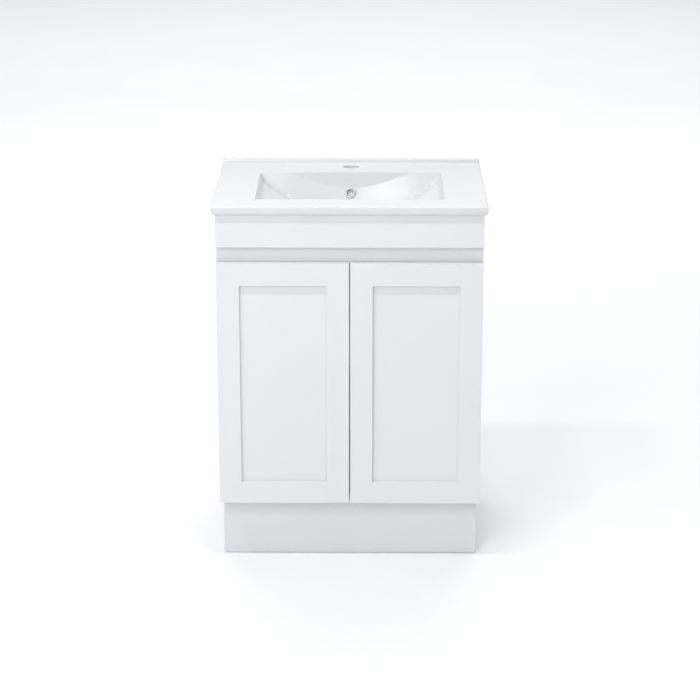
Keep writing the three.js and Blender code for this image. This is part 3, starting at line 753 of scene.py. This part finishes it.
def split_at_heights(mesh, heights):
    """Cuts the faces and edges of a mesh at each height, so that an edge can be rounded in part."""
    bm = bmesh.new()
    bm.from_mesh(mesh)
    for height in heights:
        whole = bm.verts[:] + bm.edges[:] + bm.faces[:]
        level = (0, 0, height)
        bmesh.ops.bisect_plane(bm, geom=whole, dist=CUT_TOLERANCE, plane_co=level, plane_no=(0, 0, 1))
    bm.to_mesh(mesh)
    bm.free()


def thicken(mesh, growth):
    """Moves the front of a flat board forwards and its rear backwards, to touch its groove's sides."""
    middle = sum(vertex.co.y for vertex in mesh.vertices) / len(mesh.vertices)
    for vertex in mesh.vertices:
        vertex.co.y += math.copysign(growth, vertex.co.y - middle)


def make_door(name):
    """The five pieces of a shaker door. Their visible edges are rounded, but where a rail meets a stile
    the edges stay sharp, because paint runs over the joint."""
    prefix = f"door_{name}_"
    top_low, top_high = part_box(prefix + "top_rail")
    bottom_low, bottom_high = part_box(prefix + "bottom_rail")
    hinge_low, hinge_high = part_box(prefix + "hinge_stile")
    meeting_low, meeting_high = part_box(prefix + "meeting_stile")
    joints = sorted([hinge_low.x, hinge_high.x, meeting_low.x, meeting_high.x])[1:3]

    def at_joint(point):
        return min(abs(point.x - joint) for joint in joints) < JOINT_REACH

    def beside_rail(a, b):
        middle = (a.z + b.z) / 2
        return middle > top_low.z or middle < bottom_high.z

    def stile_share(a, b):
        return JOINT_EDGE_SHARE if at_joint(a) and at_joint(b) and beside_rail(a, b) else 1.0

    def rail_share(a, b):
        inside = joints[0] + JOINT_REACH < (a.x + b.x) / 2 < joints[1] - JOINT_REACH
        along_rail = abs(a.x - b.x) > SHORTEST_RAIL_EDGE
        return 1.0 if inside and along_rail else JOINT_EDGE_SHARE

    shares = {
        "hinge_stile": stile_share,
        "meeting_stile": stile_share,
        "top_rail": rail_share,
        "bottom_rail": rail_share,
    }
    for part, share in shares.items():
        mesh = clean_copy(prefix + part)
        if "stile" in part:
            split_at_heights(mesh, (bottom_high.z, top_low.z))
        weigh_edges(mesh, share)
        shade(mesh)
        piece = add_piece(prefix + part + "_fine", mesh, f"{name}_door", "cabinet_paint")
        round_edges(piece, DOOR_EDGE, weighted=True)
        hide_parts(prefix + part)
    panel = refine(prefix + "panel", PANEL_EDGE, segments=2)
    thicken(panel.data, GROOVE_CLEARANCE)


for door in ("left", "right"):
    make_door(door)

# ---- Hinges, screws, pins and bumpers ----

SHANK_LENGTH = 3.0
SHANK_SHARE = 0.45
HEAD_EXPONENT = 0.6
CROSS_ARM_SHARE = 0.62
CROSS_SLOT_SHARE = 0.14
CROSS_FLOOR_SHARE = 0.35


def cross_screw(head_radius, head_height, name):
    """A pan-head screw with a cross recess, its seat at the origin and its head towards +Z."""
    shank = head_radius * SHANK_SHARE
    profile = [(0, -SHANK_LENGTH), (shank, -SHANK_LENGTH), (shank, 0.0), (head_radius, 0.0)]
    steps = 6
    for step in range(1, steps):
        angle = math.pi / 2 * step / steps
        profile.append((head_radius * math.cos(angle) ** HEAD_EXPONENT, head_height * math.sin(angle)))
    profile.append((0, head_height))
    mesh = lathe_object(name, profile, (0, 0, 0), segments=28)
    holder = bpy.data.objects.new("screw_blank", mesh)
    bpy.context.scene.collection.objects.link(holder)
    arm = head_radius * CROSS_ARM_SHARE
    slot = head_radius * CROSS_SLOT_SHARE
    floor = head_height * CROSS_FLOOR_SHARE
    for half_x, half_y in ((arm, slot), (slot, arm)):
        tool = box_mesh("cross", (-half_x, -half_y, floor), (half_x, half_y, head_height * 2))
        carve(holder, tool, "DIFFERENCE")
    result = holder.data
    bpy.data.objects.remove(holder)
    return result


def scatter(name, master, placements, body, slot):
    """One piece made of copies of a small mesh. A placement is (centre, outward axis, turn)."""

    def build(bm):
        for centre, axis, turn in placements:
            part = bmesh.new()
            part.from_mesh(master)
            aim = Vector((0, 0, 1)).rotation_difference(Vector(axis)).to_matrix().to_4x4()
            place = Matrix.Translation(centre) @ aim @ Matrix.Rotation(turn, 4, "Z")
            bmesh.ops.transform(part, matrix=place, verts=part.verts)
            copy = bpy.data.meshes.new("copy")
            part.to_mesh(copy)
            part.free()
            bm.from_mesh(copy)
            bpy.data.meshes.remove(copy)

    mesh = mesh_from(name, build)
    shade(mesh)
    return add_piece(name, mesh, body, slot)


SCREW = cross_screw(head_radius=3.6, head_height=2.0, name="screw_master")
SMALL_SCREW = cross_screw(head_radius=2.8, head_height=1.5, name="small_screw_master")

HINGE_EDGES = {"cup": 0.35 * MM, "link": 0.3 * MM, "arm": 0.35 * MM, "plate": 0.5 * MM}
CUP_SCREW_INSET = 7.0 * MM
CUP_SCREW_FROM_END = 4.2 * MM
CUP_SCREW_TURN = 0.4
PLATE_WING_THICKNESS = 2.0 * MM
PLATE_SCREW_SHARE = 0.53
PLATE_SCREW_FROM_END = 6.0 * MM
PLATE_SCREW_TURN = 0.2
ARM_SCREW_SETBACKS = (9.0, 27.0)
ARM_SCREW_TURN = 0.7
BUMPER_EDGE = 0.6 * MM
SHELF_PIN_EDGE = 0.4 * MM


def add_cup_screws(side, key, sign, middle):
    """The two screws that hold the cup's wings to the rear of the door."""
    low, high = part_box(f"hinge_cup_{key}")
    x = sign * (min(abs(low.x), abs(high.x)) + CUP_SCREW_INSET)
    offset = (high.z - low.z) / 2 - CUP_SCREW_FROM_END
    screws = []
    for end in (-1, 1):
        centre = Vector((x, high.y, middle + end * offset))
        screws.append((centre, (0, 1, 0), CUP_SCREW_TURN + end))
    scatter(f"cup_screws_{key}", SCREW, screws, f"{side}_door", "nickel_steel")


def add_plate_screws(key, sign, middle):
    """The two screws that hold the plate's wings to the side panel."""
    low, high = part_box(f"hinge_plate_{key}")
    x = sign * (max(abs(low.x), abs(high.x)) - PLATE_WING_THICKNESS)
    y = low.y + (high.y - low.y) * PLATE_SCREW_SHARE
    offset = (high.z - low.z) / 2 - PLATE_SCREW_FROM_END
    screws = []
    for end in (-1, 1):
        centre = Vector((x, y, middle + end * offset))
        screws.append((centre, (-sign, 0, 0), PLATE_SCREW_TURN - end))
    scatter(f"plate_screws_{key}", SCREW, screws, "root", "nickel_steel")


def add_arm_screws(key, sign, middle):
    """The adjusting screw and the clamping screw on the web of the arm."""
    low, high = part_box(f"hinge_arm_{key}")
    web = sign * min(abs(low.x), abs(high.x))
    screws = []
    for setback in ARM_SCREW_SETBACKS:
        centre = Vector((web, high.y - setback * MM, middle))
        screws.append((centre, (-sign, 0, 0), ARM_SCREW_TURN * setback))
    scatter(f"arm_screws_{key}", SMALL_SCREW, screws, "root", "nickel_steel")


def make_hinge(side, height):
    sign = -1 if side == "left" else 1
    key = f"{side}_{height}"
    for part, edge in HINGE_EDGES.items():
        refine(f"hinge_{part}_{key}", edge, segments=2)
    cup_low, cup_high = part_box(f"hinge_cup_{key}")
    middle = (cup_low.z + cup_high.z) / 2
    add_cup_screws(side, key, sign, middle)
    add_plate_screws(key, sign, middle)
    add_arm_screws(key, sign, middle)


for side in ("left", "right"):
    for height in ("upper", "lower"):
        make_hinge(side, height)
        refine(f"door_bumper_{side}_{height}", BUMPER_EDGE)
    for row in ("front", "rear"):
        refine(f"shelf_pin_{side}_{row}", SHELF_PIN_EDGE, segments=2)

bpy.data.meshes.remove(SCREW)
bpy.data.meshes.remove(SMALL_SCREW)

make_floor()
make_world()
make_lights()
bpy.context.scene.view_settings.view_transform = "Standard"
